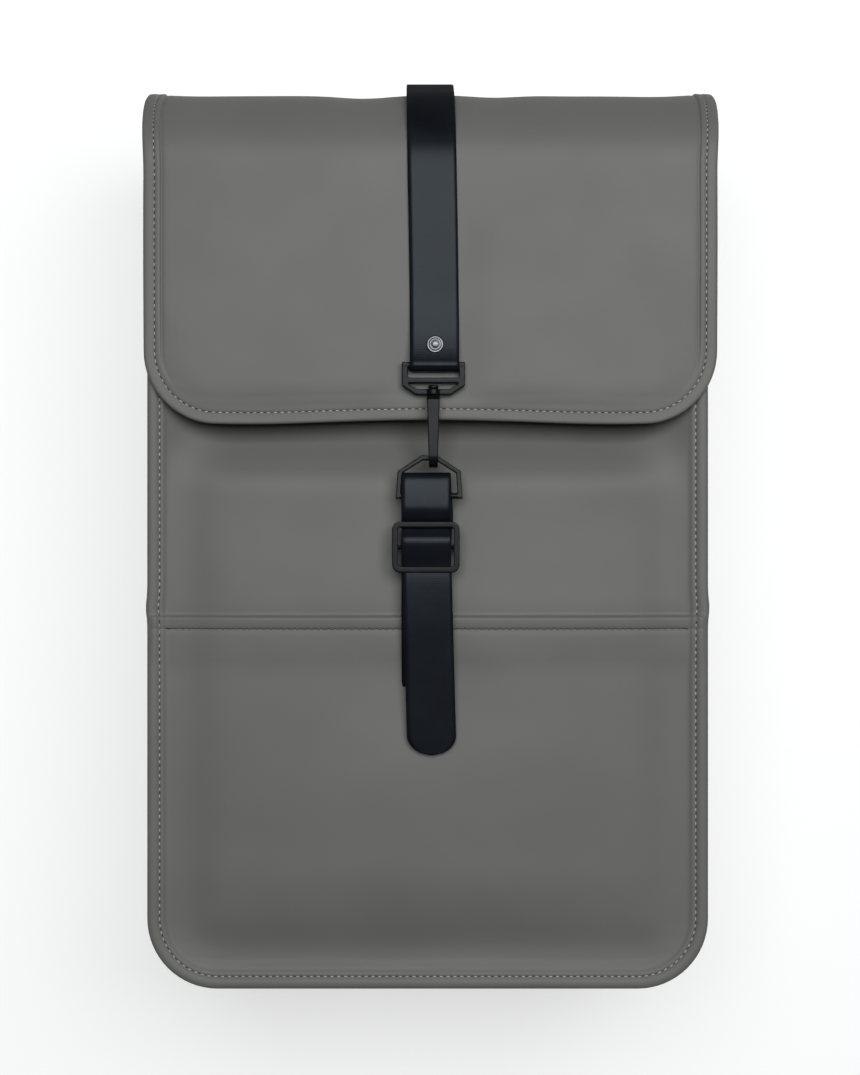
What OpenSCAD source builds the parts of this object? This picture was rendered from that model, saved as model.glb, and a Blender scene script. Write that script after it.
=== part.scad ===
// Flap-top daypack in coated fabric. Front is -Y, up is +Z, the origin is under the middle of the bag.

/* [Bag] */
// Width of the bag across its sewn edges
body_w = 287; // [260:1:320]
// Depth of the bag from front panel to back panel
body_d = 100; // [96:1:104]
// Height of the closed bag over the flap
body_h = 464; // [450:1:480]
// Radius of the two bottom corners
corner_r = 36; // [30:1:45]
// Thickness of the coated fabric with its lining
fabric_t = 1.6; // [1.2:0.1:1.8]

/* [Flap and front] */
// Width of the flap
flap_w = 292; // [288:1:300]
// Height of the flap's front edge above the ground
flap_bottom = 290; // [275:1:300]
// Height of the turned edge where the lower front panel laps the upper one
lap_top = 190; // [180:1:200]
// Depth of that lap
lap_d = 15; // [12:1:18]

/* [Webbing] */
// Width of the webbing
web_w = 25; // [20:1:25]
// Thickness of the webbing
web_t = 1.5; // [1.2:0.1:1.6]
// Width of the shoulder pads
pad_w = 52; // [44:1:56]
// Thickness of the shoulder pads' foam
pad_t = 6.5; // [5:0.5:7]

/* [Hidden] */
$fn = 48;
eps = 0.01;
gap = 0.3;             // clearance between soft pieces that move past each other

// Planes of the bag
half_w = body_w / 2;
y_front = -57;         // outer face of the front panel
y_back = y_front + body_d;
wall_top = body_h - 18; // open edge of the gusset
front_top = wall_top - 12; // open edge of the front panel, under the flap's bend
seam_w = 6.5;          // width of the turned seam round the panels
seam_proud = 2.4;      // how far that seam stands proud of a panel
y_lap = y_front - fabric_t - 0.2; // outer face of the lap

// Flap
flap_r = 36;           // bend over the front top edge
flap_rear_r = 10;      // bend at the back top edge
y_flap = y_front - 5.4; // outer face of the flap's front
flap_corner_r = 36;
hem_w = 9;             // width of the folded hem down the flap's sides
hem_t = 0.8;
hinge_y = y_back + 1.2;
hinge_z = body_h - 12;

// Front strap, ring, hook
strap_x = 2.9;
ring_z = 318.4;        // axis of the ring's bar, which the strap wraps
ring_r = 1.6;
ring_half = 16;
ring_wire = 3;
ring_foot = 303.2;     // lowest face of the ring and its boss
boss_h = 3;
boss_r = 3.4;
stem_r = 1.9;
stem_play = 0.06;
strap_y = y_flap - gap - web_t / 2;      // mid plane of the strap on the flap
ring_y = strap_y - web_t / 2 - 0.35 - ring_r;
ring_loop_r = ring_r + 0.35 + web_t / 2; // mid radius of the webbing round the ring's bar
rivet_z = 328.8;
rivet_r = 4.5;
fold_end = 341;        // end of the strap's folded back layer

eye_y = ring_y - 1;    // centre of the hook's bend
eye_z = 272.3;
eye_r = 3.4;
hook_t = 2.6;
hook_w_top = 6.6;
hook_w_tip = 4.4;
gate_z = 298.4;        // gate pivot
gate_pin_r = 0.8;
gate_t = 1.8;
gate_y = eye_y + eye_r - 0.2 - gate_t / 2;

// Lower strap, D-ring and slider
low_x = -0.2;
dring_z = 251.9;       // axis of the D-ring's bar
dring_r = 1.5;
dring_y = -68.9;
dring_rise = 19.2;     // bar to the wire at the top
dring_x = 0.8;
rear_y = -66.45;       // mid plane of the lower strap's rear layer
front_y = rear_y - web_t - 0.1;
anchor_y = y_front - 0.05 - web_t / 2;
anchor_end = 131;
tail_end = 120.5;
slider_x = -0.9;
slider_z = 226;
slider_w = 34.2;
slider_h = 25.8;
slider_wire = 3;
slider_y = front_y - web_t / 2 - gap - slider_wire / 2;
bar_r = 1;
bar_y = rear_y + web_t / 2 + gap + bar_r;
tail_hinge_z = slider_z - slider_h / 2 - 1;
tail_y = front_y - 0.05;

// Shoulder straps: they swing about a line from their top root to their bottom tab
root_x = 64;
root_z = 434;
tab_x = 112;
tab_z = 42;
swing_y = y_back + 12;
bow = 14.4;            // how far the strap bows out from that line
pad_share = 0.66;      // share of the strap that is pad
lock_share = 0.69;
mesh_t = 1.5;
lean = atan2(tab_x - root_x, root_z - tab_z);
strap_span = norm([tab_x - root_x, root_z - tab_z]);

// Zipper of the flat back pocket
zip_z = 150;
zip_len = 150;
zip_y = y_back;

// ---------- helpers ----------

// A rounded-bottom outline in X and Z, open to a straight top edge
function outline(half, r, low, high, n = 10) = concat(
    [for (i = [0:n]) [-half + r - r * cos(90 * i / n), low + r - r * sin(90 * i / n)]],
    [for (i = [0:n]) [half - r + r * sin(90 * i / n), low + r - r * cos(90 * i / n)]],
    [[half, high], [-half, high]]
);

// A rectangle with round corners
function round_rect(w, h, r, n = 6) = [
    for (c = [0:3], i = [0:n])
        let (a = 90 * c + 90 * i / n, sx = (c == 0 || c == 3) ? 1 : -1, sy = c < 2 ? 1 : -1)
        [sx * (w / 2 - r) + r * cos(a), sy * (h / 2 - r) + r * sin(a)]
];

// An arc as points: centre, radius, first and last angle
function arc(c, r, a0, a1, n = 8) = [for (i = [0:n]) let (a = a0 + (a1 - a0) * i / n) c + r * [cos(a), sin(a)]];

function unit(v) = v / norm(v);
function turned(v) = [-v[1], v[0]];

// Offset of a path's point i by d to its left, mitred
function side_point(p, i, d) =
    let (a = unit(p[max(i, 1)] - p[max(i, 1) - 1]),
         b = unit(p[min(i + 1, len(p) - 1)] - p[min(i + 1, len(p) - 1) - 1]),
         m = unit(turned(a) + turned(b)))
    p[i] + m * d / max(0.5, m * turned(a));

// A strip of thickness t along a path
function strip(p, t) = concat(
    [for (i = [0:len(p) - 1]) side_point(p, i, t / 2)],
    [for (i = [len(p) - 1:-1:0]) side_point(p, i, -t / 2)]
);

// Shapes drawn in X and Z, from y0 to y1
module slab(y0, y1) {
    translate([0, y1, 0]) rotate([90, 0, 0]) linear_extrude(y1 - y0) children();
}

// Shapes drawn in Y and Z, w wide about x
module across(x, w) {
    translate([x - w / 2, 0, 0]) rotate([90, 0, 90]) linear_extrude(w) children();
}

module rod_x(x, w, y, z, r) {
    translate([x - w / 2, y, z]) rotate([0, 90, 0]) cylinder(h = w, r = r);
}

// ---------- bag ----------

module bag_outline(inset, low, high) {
    polygon(outline(half_w - inset, corner_r - inset, low, high));
}

module front_upper_panel() {
    half = half_w - seam_w - gap;
    color("dimgray") slab(y_front, y_front + fabric_t)
        translate([-half, lap_top - lap_d]) square([2 * half, front_top - lap_top + lap_d]);
}

module front_lower_panel() {
    inset = seam_w + gap;
    half = half_w - inset;
    step = lap_top - lap_d - 0.2;
    color("dimgray") {
        slab(y_front, y_front + fabric_t) bag_outline(inset, inset, step);
        slab(y_lap, y_front + fabric_t) translate([-half, step - 4]) square([2 * half, 4]);
        slab(y_lap, y_lap + fabric_t) translate([-half, step - 4]) square([2 * half, lap_top - step + 4]);
    }
}

module gusset() {
    inset = 2;
    color("gray") slab(y_front + seam_proud + 0.3, y_back - seam_proud - 0.3) difference() {
        bag_outline(inset, 0, wall_top);
        bag_outline(inset + fabric_t, fabric_t, wall_top + 1);
    }
}

// The turned and topstitched seam that joins a panel to the gusset
module seam_binding(y0, y1, top) {
    slab(y0, y1) difference() {
        bag_outline(0, 0, top);
        bag_outline(seam_w, seam_w, wall_top + 1);
    }
}

module front_seam_binding() {
    color("gray") seam_binding(y_front - seam_proud, y_front + seam_proud, front_top - 9);
}

module back_seam_binding() {
    color("gray") seam_binding(y_back - seam_proud, y_back + 1, wall_top);
}

module back_panel() {
    color("dimgray") slab(y_back - fabric_t, y_back) difference() {
        bag_outline(seam_w + gap, seam_w + gap, wall_top + 4);
        translate([-zip_len / 2, zip_z - 2.5]) square([zip_len, 5]);
    }
}

module back_padding() {
    color("silver") slab(y_back - fabric_t - 6, y_back - fabric_t - 0.2)
        bag_outline(seam_w + 4, seam_w + 4, wall_top - 12);
}

module back_lining() {
    color("black") slab(y_back - fabric_t - 7.2, y_back - fabric_t - 6.2)
        bag_outline(seam_w + 2, seam_w + 2, wall_top - 2);
}

module top_seam_band() {
    color("dimgray") slab(y_back + 0.05, y_back + 1.6)
        translate([-half_w + 14, wall_top - 24]) square([body_w - 28, 24]);
}

// Padded pocket for a flat computer, sewn to the lining and open at the top
module laptop_sleeve() {
    back = y_back - fabric_t - 7.4;
    space = 20;
    wall = 3;
    half = 122;
    top = 345;
    low = 22;
    color("darkslategray") {
        slab(back - space - wall, back - space) translate([-half, low]) square([2 * half, top - low]);
        for (s = [-1, 1])
            slab(back - space - eps, back) translate([s * (half - wall / 2) - wall / 2, low]) square([wall, top - low]);
        slab(back - space - eps, back) translate([-half, low]) square([2 * half, wall]);
    }
}

// ---------- flap ----------

flap_mid_y = y_flap + fabric_t / 2;
flap_mid_z = body_h - 1 - fabric_t / 2;
function flap_path(low) = concat(
    [[hinge_y - 1.2, hinge_z + 0.4]],
    arc([hinge_y - 1.2 - flap_rear_r, flap_mid_z - flap_rear_r], flap_rear_r, 15, 90, 4),
    arc([flap_mid_y + flap_r, flap_mid_z - flap_r], flap_r, 90, 180, 8),
    [[flap_mid_y, low]]
);

module flap() {
    color("dimgray") intersection() {
        across(0, flap_w) polygon(strip(flap_path(flap_bottom), fabric_t));
        slab(y_flap - 2, y_back + 4) polygon(outline(flap_w / 2, flap_corner_r, flap_bottom, body_h + 5));
    }
}

// Facing under the flap's two sides and front edge
module flap_hem() {
    inner = fabric_t / 2 + hem_t / 2 + 0.02;
    y = y_flap + fabric_t + hem_t / 2 + 0.02;
    color("gray") slab(y - hem_t / 2, y + hem_t / 2) difference() {
        polygon(outline(flap_w / 2 - 0.5, flap_corner_r - 0.5, flap_bottom + 0.5, flap_mid_z - flap_r));
        polygon(outline(flap_w / 2 - hem_w, flap_corner_r - hem_w, flap_bottom + hem_w, flap_mid_z + inner));
    }
}

// ---------- front strap and snap hook ----------

module web_across(x, path) {
    across(x, web_w) polygon(strip(path, web_t));
}

module front_strap() {
    top = flap_mid_z + 12;
    bend_r = flap_r + 1.5;
    front_layer = strap_y - web_t - 0.1;
    path = concat(
        [[hinge_y + 0.9, hinge_z + 0.6]],
        arc([hinge_y - 16, top - 15], 16, 15, 90, 5),
        [[0, top]],
        arc([strap_y + bend_r, flap_mid_z - flap_r], bend_r, 110, 180, 7),
        [[strap_y, fold_end + 5], [front_layer, fold_end + 1.5], [front_layer, 323.6]],
        arc([ring_y, ring_z], ring_loop_r, 152, 360, 12),
        [[strap_y, 322], [strap_y, fold_end]]
    );
    color("black") difference() {
        web_across(strap_x, path);
        translate([strap_x, strap_y + 5, rivet_z]) rotate([90, 0, 0]) cylinder(h = 12, r = 1.6);
    }
}

module rivet_cap() {
    face = strap_y - 1.5 * web_t - 0.1;
    color("silver") translate([strap_x, face - 0.05, rivet_z]) rotate([90, 0, 0]) {
        cylinder(h = 1, r = rivet_r);
        translate([0, 0, 1 - eps]) cylinder(h = 0.6, r1 = rivet_r - 0.2, r2 = rivet_r - 1.4);
    }
}

module rivet_post() {
    face = strap_y - 1.5 * web_t - 0.1;
    color("silver") translate([strap_x, strap_y + web_t / 2 + 0.05, rivet_z]) rotate([90, 0, 0])
        cylinder(h = strap_y + web_t / 2 - face, r = 1.5);
}

// Plate outline of the ring, foot down
module ring_plate() {
    shoulder = 4.6;
    foot = 9;
    difference() {
        polygon([
            [-ring_half, ring_z + 1.6], [-ring_half, ring_foot + shoulder], [-foot, ring_foot],
            [foot, ring_foot], [ring_half, ring_foot + shoulder], [ring_half, ring_z + 1.6]
        ]);
        translate([-ring_half + ring_wire, 312]) square([2 * (ring_half - ring_wire), 20]);
        polygon([
            [-ring_half + ring_wire, 309.2], [-ring_half + ring_wire, ring_foot + shoulder + 1],
            [-foot + 1, ring_foot + ring_wire], [foot - 1, ring_foot + ring_wire],
            [ring_half - ring_wire, ring_foot + shoulder + 1], [ring_half - ring_wire, 309.2]
        ]);
    }
}

module hook_ring() {
    color("black") difference() {
        union() {
            translate([strap_x, 0, 0]) slab(ring_y - 1.5, ring_y + 1.5) ring_plate();
            rod_x(strap_x, 2 * ring_half - 2, ring_y, ring_z, ring_r);
            translate([strap_x, ring_y, ring_foot]) cylinder(h = boss_h, r = boss_r);
        }
        translate([strap_x, ring_y, ring_foot - 1]) cylinder(h = boss_h + 2, r = stem_r + stem_play);
    }
}

// Side view of the hook, in Y and Z: head, spine, bend and tip
module hook_side() {
    head_h = 7;
    outer_r = eye_r + hook_t;
    top = ring_foot - 0.2;
    difference() {
        union() {
            translate([eye_y, eye_z]) circle(r = outer_r);
            translate([eye_y - outer_r, eye_z]) square([hook_t, top - eye_z - 2]);
            translate([eye_y + eye_r, eye_z]) square([hook_t, 4.4]);
            polygon([
                [eye_y - outer_r, top - head_h - 8], [eye_y - outer_r, top - 4], [ring_y - 3.2, top],
                [ring_y + 3.2, top], [ring_y + 3.2, top - head_h], [eye_y - 1, top - head_h],
                [eye_y - eye_r, top - head_h - 5]
            ]);
        }
        translate([eye_y, eye_z]) circle(r = eye_r);
        translate([eye_y - eye_r, eye_z]) square([2 * eye_r, 6]);
    }
}

module hook_body() {
    foot = eye_z - eye_r - hook_t - 1;
    top = ring_foot - 0.2;
    slot_w = 2.8;
    color("black") difference() {
        union() {
            intersection() {
                across(strap_x, 10) hook_side();
                translate([strap_x, 0, 0]) slab(eye_y - 12, eye_y + 12) polygon([
                    [-hook_w_tip / 2, foot], [-hook_w_top / 2, top + 1],
                    [hook_w_top / 2, top + 1], [hook_w_tip / 2, foot]
                ]);
            }
            translate([strap_x, ring_y, top - 2]) cylinder(h = boss_h + 2.4, r = stem_r);
            translate([strap_x, ring_y, ring_foot + boss_h + 0.15]) cylinder(h = 1.8, r = 2.6);
        }
        // Slot for the gate, and the hole for its pin
        translate([strap_x - slot_w / 2, gate_y - gate_t / 2 - 1.5, gate_z - 5]) cube([slot_w, 8, 7.4]);
        rod_x(strap_x, 12, gate_y, gate_z, gate_pin_r);
    }
}

module gate_pin() {
    color("silver") rod_x(strap_x, 5.6, gate_y, gate_z, gate_pin_r);
}

module hook_gate() {
    low = eye_z + 1.9;
    color("dimgray") difference() {
        union() {
            rod_x(strap_x, 2.4, gate_y, gate_z, 1.5);
            translate([strap_x - 1.2, gate_y - gate_t / 2, low]) cube([2.4, gate_t, gate_z - low]);
        }
        rod_x(strap_x, 4, gate_y, gate_z, gate_pin_r + 0.05);
    }
}

// ---------- lower strap ----------

module lower_strap() {
    path = concat(
        [[anchor_y, anchor_end], [anchor_y, 152], [rear_y, 180], [rear_y, 247], [rear_y + 0.05, 256]],
        arc([dring_y, 258.3], 2.55, 0, 180, 8),
        [[dring_y - 2.65, 249], [dring_y - 2.2, 244.5], [front_y, 240.5], [front_y, tail_hinge_z + 1.4]]
    );
    color("black") intersection() {
        web_across(low_x, path);
        slab(-80, -50) translate([low_x, 0]) polygon(concat(
            [for (i = [0:12]) [-web_w / 2 * cos(180 * i / 12), anchor_end + 8 - 8 * sin(180 * i / 12)]],
            [[web_w / 2, 300], [-web_w / 2, 300]]
        ));
    }
}

module strap_tail() {
    end_r = web_w / 2;
    color("black") translate([low_x + 1, 0, 0]) slab(tail_y - web_t / 2, tail_y + web_t / 2) polygon(concat(
        [for (i = [0:16]) [-end_r * cos(180 * i / 16), tail_end + end_r * 0.8 - end_r * 0.8 * sin(180 * i / 16)]],
        [[end_r, tail_hinge_z], [-end_r, tail_hinge_z]]
    ));
}

module d_ring() {
    half = 17;
    wire = 2.4;
    shoulder = 12.6;
    neck = 16;
    top = dring_rise + 1.4;
    flat = 4;
    tilt = atan2(abs(dring_y - eye_y), dring_rise);
    color("black") translate([dring_x, dring_y, dring_z]) rotate([-tilt, 0, 0]) {
        slab(-1.4, 1.4) difference() {
            polygon([
                [-half, -1.5], [-neck, shoulder], [-flat, top], [flat, top], [neck, shoulder], [half, -1.5]
            ]);
            polygon([
                [-half + wire, -3], [-neck + wire, shoulder - 1], [-flat + 0.8, top - wire],
                [flat - 0.8, top - wire], [neck - wire, shoulder - 1], [half - wire, -3]
            ]);
        }
        rod_x(0, 2 * half - 3, 0, 0, dring_r);
    }
}

module slider_frame() {
    lug = 2.6;
    color("black") translate([slider_x, 0, slider_z]) {
        slab(slider_y - slider_wire / 2, slider_y + slider_wire / 2) difference() {
            polygon(round_rect(slider_w, slider_h, 4));
            polygon(round_rect(slider_w - 2 * slider_wire, slider_h - 2 * slider_wire, 1.6));
        }
        for (s = [-1, 1]) difference() {
            translate([s * (slider_w / 2 - slider_wire / 2) - lug / 2, slider_y, -2.4])
                cube([lug, bar_y + bar_r + 1 - slider_y, 4.8]);
            rod_x(s * slider_w / 2, 8, bar_y, 0, bar_r);
        }
    }
}

module slider_bar() {
    color("black") rod_x(slider_x, slider_w - 1.6, bar_y, slider_z, bar_r);
}

// ---------- back ----------

module haul_loop() {
    w = 11;
    half = 26;
    drop = 30;
    top = wall_top - 12;
    path = concat(
        [[-half, top]],
        arc([-half + 14, top - drop + 14], 14, 180, 270, 6),
        arc([half - 14, top - drop + 14], 14, 270, 360, 6),
        [[half, top]]
    );
    color("black") slab(y_back + 2, y_back + 5.2) polygon(strip(path, w));
}

// Point of a shoulder strap at share t of its length, seen from its own side
function strap_point(t) = [0, bow * sin(180 * t), -t * strap_span];

// A ribbon swept along the strap: widths and thickness as functions of t
function pad_half(t) = t < 0.14
    ? 12 + (pad_w / 2 - 12) * sin(90 * t / 0.14)
    : t < 0.46 ? pad_w / 2 : pad_w / 2 - (pad_w / 2 - 14) * pow((t - 0.46) / (pad_share - 0.46), 1.6);

function ribbon_ring(t, half, lift, thick) =
    let (slope = bow * PI * cos(180 * t), n = unit([0, strap_span, slope]), c = strap_point(t) + n * lift)
    [for (p = [[-1, 0.5], [-0.94, 1], [0.94, 1], [1, 0.5], [1, -0.5], [0.94, -1], [-0.94, -1], [-1, -0.5]])
        c + [p[0] * half, 0, 0] + n * p[1] * thick / 2];

module ribbon(t0, t1, n, lift, thick, wide = 0) {
    rings = [for (i = [0:n]) let (t = t0 + (t1 - t0) * i / n)
        ribbon_ring(t, wide > 0 ? wide / 2 : pad_half(t), lift, thick)];
    points = [for (r = rings, p = r) p];
    faces = concat(
        [[for (k = [0:7]) k]],
        [for (i = [0:n - 1], k = [0:7]) [8 * i + k, 8 * i + 8 + k, 8 * i + 8 + (k + 1) % 8, 8 * i + (k + 1) % 8]],
        [[for (k = [7:-1:0]) 8 * n + k]]
    );
    polyhedron(points, faces);
}

// Places a strap's pieces: side -1 is the left strap, seen from the front
module on_strap(side) {
    translate([side * root_x, swing_y, root_z]) rotate([0, -side * lean, 0]) children();
}

module shoulder_pad(side) {
    color("dimgray") on_strap(side) ribbon(0.015, pad_share, 22, mesh_t / 2 + 0.05, pad_t);
}

module pad_mesh(side) {
    color("black") on_strap(side) ribbon(0.03, pad_share - 0.01, 20, -pad_t / 2 - 0.05, mesh_t);
}

module lock_loop(side) {
    color("black") on_strap(side) ribbon(pad_share + 0.001, lock_share - 0.009, 3, 0.4, 2.4, web_w);
}

// Frame that holds the lock's shapes square to the strap at its place
module at_lock(side) {
    slope = atan2(bow * PI * cos(180 * lock_share), strap_span);
    on_strap(side) translate(strap_point(lock_share)) rotate([slope, 0, 0]) children();
}

module ladder_lock(side) {
    w = 33;
    h = 26;
    color("black") at_lock(side) translate([0, 0, -h / 2 + 3]) {
        slab(-2.2, 2) difference() {
            polygon(round_rect(w, h, 3));
            for (z = [8.2, 0.6, -7]) translate([-web_w / 2 - 0.5, z - 2.2]) square([web_w + 1, 4.4]);
        }
    }
}

module adjuster_web(side) {
    color("black") on_strap(side) ribbon(lock_share + 0.062, 0.99, 10, 0, web_t, web_w);
}

module adjuster_tail(side) {
    len = 78;
    color("black") at_lock(side) translate([0, 3.1, -22])
        slab(-0.75, 0.75) translate([-web_w / 2, -len]) square([web_w, len]);
}

module strap_root(side) {
    color("dimgray") translate([side * root_x - 11, y_back + 1.7, root_z + 0.2]) cube([22, 11, 7.5]);
}

// Triangular tab from the side seam to the adjuster webbing
module strap_tab(side) {
    rise = 26;
    color("dimgray") {
        slab(y_back + 1.1, y_back + 3.1) polygon([
            [side * (half_w - 4), tab_z + rise], [side * (half_w - 4), tab_z - rise + 8],
            [side * (tab_x - 8), tab_z - 14], [side * (tab_x - 8), tab_z - 2]
        ]);
        translate([side * tab_x - 12, y_back + 3, tab_z - 14]) cube([24, 9.8, 11]);
    }
}

// ---------- zipper ----------

module zipper_tapes() {
    color("black") for (s = [-1, 1])
        slab(zip_y - 1.5, zip_y - 0.4)
            translate([-zip_len / 2 + 0.2, zip_z + (s > 0 ? 0.9 : -2.3)]) square([zip_len - 0.4, 1.4]);
}

module zipper_coil() {
    color("black") slab(zip_y - 1.5, zip_y - 0.2)
        translate([-zip_len / 2 + 1, zip_z - 0.8]) square([zip_len - 2, 1.6]);
}

module zipper_slider() {
    color("silver") translate([-zip_len / 2 + 8, 0, zip_z]) {
        slab(zip_y + 0.1, zip_y + 1.6) polygon(round_rect(9, 7, 2));
        for (z = [-2.7, 1.9])
            slab(zip_y + 1.6 - eps, zip_y + 4.6) translate([-2.9, z]) square([1.8, 0.8]);
        translate([-2, zip_y + 3.6, -2.6]) cylinder(h = 5.2, r = 0.7);
    }
}

module zipper_pull() {
    color("silver") translate([-zip_len / 2 + 6, 0, zip_z]) difference() {
        union() {
            translate([0, zip_y + 3.6, -1.5]) cylinder(h = 3, r = 1.7);
            slab(zip_y + 2.9, zip_y + 4.3) {
                translate([1, -1.5]) square([3.5, 3]);
                translate([9, 0]) polygon(round_rect(10, 6.6, 2));
            }
        }
        translate([0, zip_y + 3.6, -2]) cylinder(h = 4, r = 1);
    }
}

// ---------- assembly ----------

front_upper_panel();
front_lower_panel();
gusset();
back_panel();
back_padding();
back_lining();
front_seam_binding();
back_seam_binding();
top_seam_band();
laptop_sleeve();
lower_strap();
zipper_tapes();
zipper_coil();
strap_tab(-1);  // strap_tab_left
strap_tab(1);  // strap_tab_right
strap_root(-1);  // strap_root_left
strap_root(1);  // strap_root_right
flap();
flap_hem();
front_strap();
rivet_cap();
rivet_post();
hook_ring();
hook_body();
gate_pin();
hook_gate();
d_ring();
slider_frame();
slider_bar();
strap_tail();
haul_loop();
shoulder_pad(-1);  // shoulder_pad_left
shoulder_pad(1);  // shoulder_pad_right
pad_mesh(-1);  // pad_mesh_left
pad_mesh(1);  // pad_mesh_right
lock_loop(-1);  // lock_loop_left
lock_loop(1);  // lock_loop_right
ladder_lock(-1);  // ladder_lock_left
ladder_lock(1);  // ladder_lock_right
adjuster_web(-1);  // adjuster_web_left
adjuster_web(1);  // adjuster_web_right
adjuster_tail(-1);  // adjuster_tail_left
adjuster_tail(1);  // adjuster_tail_right
zipper_slider();
zipper_pull();
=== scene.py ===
"""Looks of a flap-top daypack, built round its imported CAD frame.

Lengths in the tables and helpers are millimetres; make() turns them into Blender's metres.
Front is -Y and up is +Z.
"""
import math

import bpy
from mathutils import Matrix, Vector, noise


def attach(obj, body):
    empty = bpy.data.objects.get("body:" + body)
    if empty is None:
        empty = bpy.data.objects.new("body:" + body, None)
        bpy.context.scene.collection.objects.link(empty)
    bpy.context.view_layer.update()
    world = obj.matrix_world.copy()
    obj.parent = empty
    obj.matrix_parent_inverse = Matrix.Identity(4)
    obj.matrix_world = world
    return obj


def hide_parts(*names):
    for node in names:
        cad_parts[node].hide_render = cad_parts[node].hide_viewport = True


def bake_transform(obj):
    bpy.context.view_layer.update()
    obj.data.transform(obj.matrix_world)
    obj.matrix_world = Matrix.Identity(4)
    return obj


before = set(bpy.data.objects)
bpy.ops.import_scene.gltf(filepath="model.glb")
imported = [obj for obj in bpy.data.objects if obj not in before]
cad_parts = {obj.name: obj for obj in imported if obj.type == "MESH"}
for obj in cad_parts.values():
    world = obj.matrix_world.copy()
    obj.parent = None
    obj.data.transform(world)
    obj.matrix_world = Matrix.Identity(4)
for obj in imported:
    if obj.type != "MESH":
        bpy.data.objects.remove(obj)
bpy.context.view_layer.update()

MM = 0.001
HALF = 143.5            # half width of the bag
CORNER = 36.0
Y_FRONT, Y_BACK = -57.0, 43.0
FLAP_HALF, FLAP_LOW = 146.0, 290.0
FLAP_FACE = -62.4
FLAP_TOP = 463.0
FLAP_BEND = 36.8        # height of the bend over the front top edge
WEB = 25.0
STRAP_X, LOW_X, TAIL_X = 2.9, -0.5, 0.5
PITCH = 3.5             # stitch length
SEAM_IN, FLAP_SEAM_IN = 6.4, 5.75      # stitch line in from the edge, on the bag and on the flap
LAP_STITCH_Z = 184.3    # stitches along the lap between the front panels
BACK_STITCH_Z = 437.0   # stitches along the back's top band
SIDE_TOP = 446          # outline height of the gusset before its rim is shaped
BACK_FACE = 46.7        # middle of the haul loop's webbing, off the back


# ---------------------------------------------------------------- small maths

def smooth(a, b, x):
    t = min(1.0, max(0.0, (x - a) / (b - a)))
    return t * t * (3 - 2 * t)


def bump(x, centre, width):
    return math.exp(-((x - centre) / width) ** 2)


def lump(x, z, size, seed):
    """Soft noise from -1 to 1 that changes over about size millimetres."""
    return noise.noise(Vector((x / size, z / size, seed * 7.31)))


def table(rows, x):
    """Straight-line lookup in rows of (x, value)."""
    if x <= rows[0][0]:
        return rows[0][1]
    for (x0, v0), (x1, v1) in zip(rows, rows[1:]):
        if x <= x1:
            return v0 + (v1 - v0) * (x - x0) / max(1e-9, x1 - x0)
    return rows[-1][1]


def spread(low, high, n):
    return [low + (high - low) * i / n for i in range(n + 1)]


def arc(cu, cv, r, a0, a1, n):
    """Points on an arc in a plane, Y and Z or X and Z, angles in degrees from its first axis."""
    return [(cu + r * math.cos(math.radians(a)), cv + r * math.sin(math.radians(a)))
            for a in spread(a0, a1, n)]


def resample(points, step):
    """Even steps along a polyline of tuples of any length, ends kept."""
    lengths = [0.0]
    for a, b in zip(points, points[1:]):
        lengths.append(lengths[-1] + math.dist(a, b))
    n = max(2, round(lengths[-1] / step))
    out, k = [], 0
    for i in range(n + 1):
        s = lengths[-1] * i / n
        while k < len(points) - 2 and lengths[k + 1] < s:
            k += 1
        t = (s - lengths[k]) / max(1e-9, lengths[k + 1] - lengths[k])
        out.append(tuple(p + (q - p) * min(1, max(0, t)) for p, q in zip(points[k], points[k + 1])))
    return out


def curve(points, step=1.5):
    """A smooth curve through the points, in even steps."""
    dense = []
    ends = [points[0]] + list(points) + [points[-1]]
    for p0, p1, p2, p3 in zip(ends, ends[1:], ends[2:], ends[3:]):
        for i in range(10):
            t = i / 10
            dense.append(tuple(
                0.5 * (2 * b + (c - a) * t + (2 * a - 5 * b + 4 * c - d) * t * t
                       + (3 * b - a - 3 * c + d) * t ** 3)
                for a, b, c, d in zip(p0, p1, p2, p3)))
    return resample(dense + [tuple(points[-1])], step)


# ---------------------------------------------------------------- materials

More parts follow.
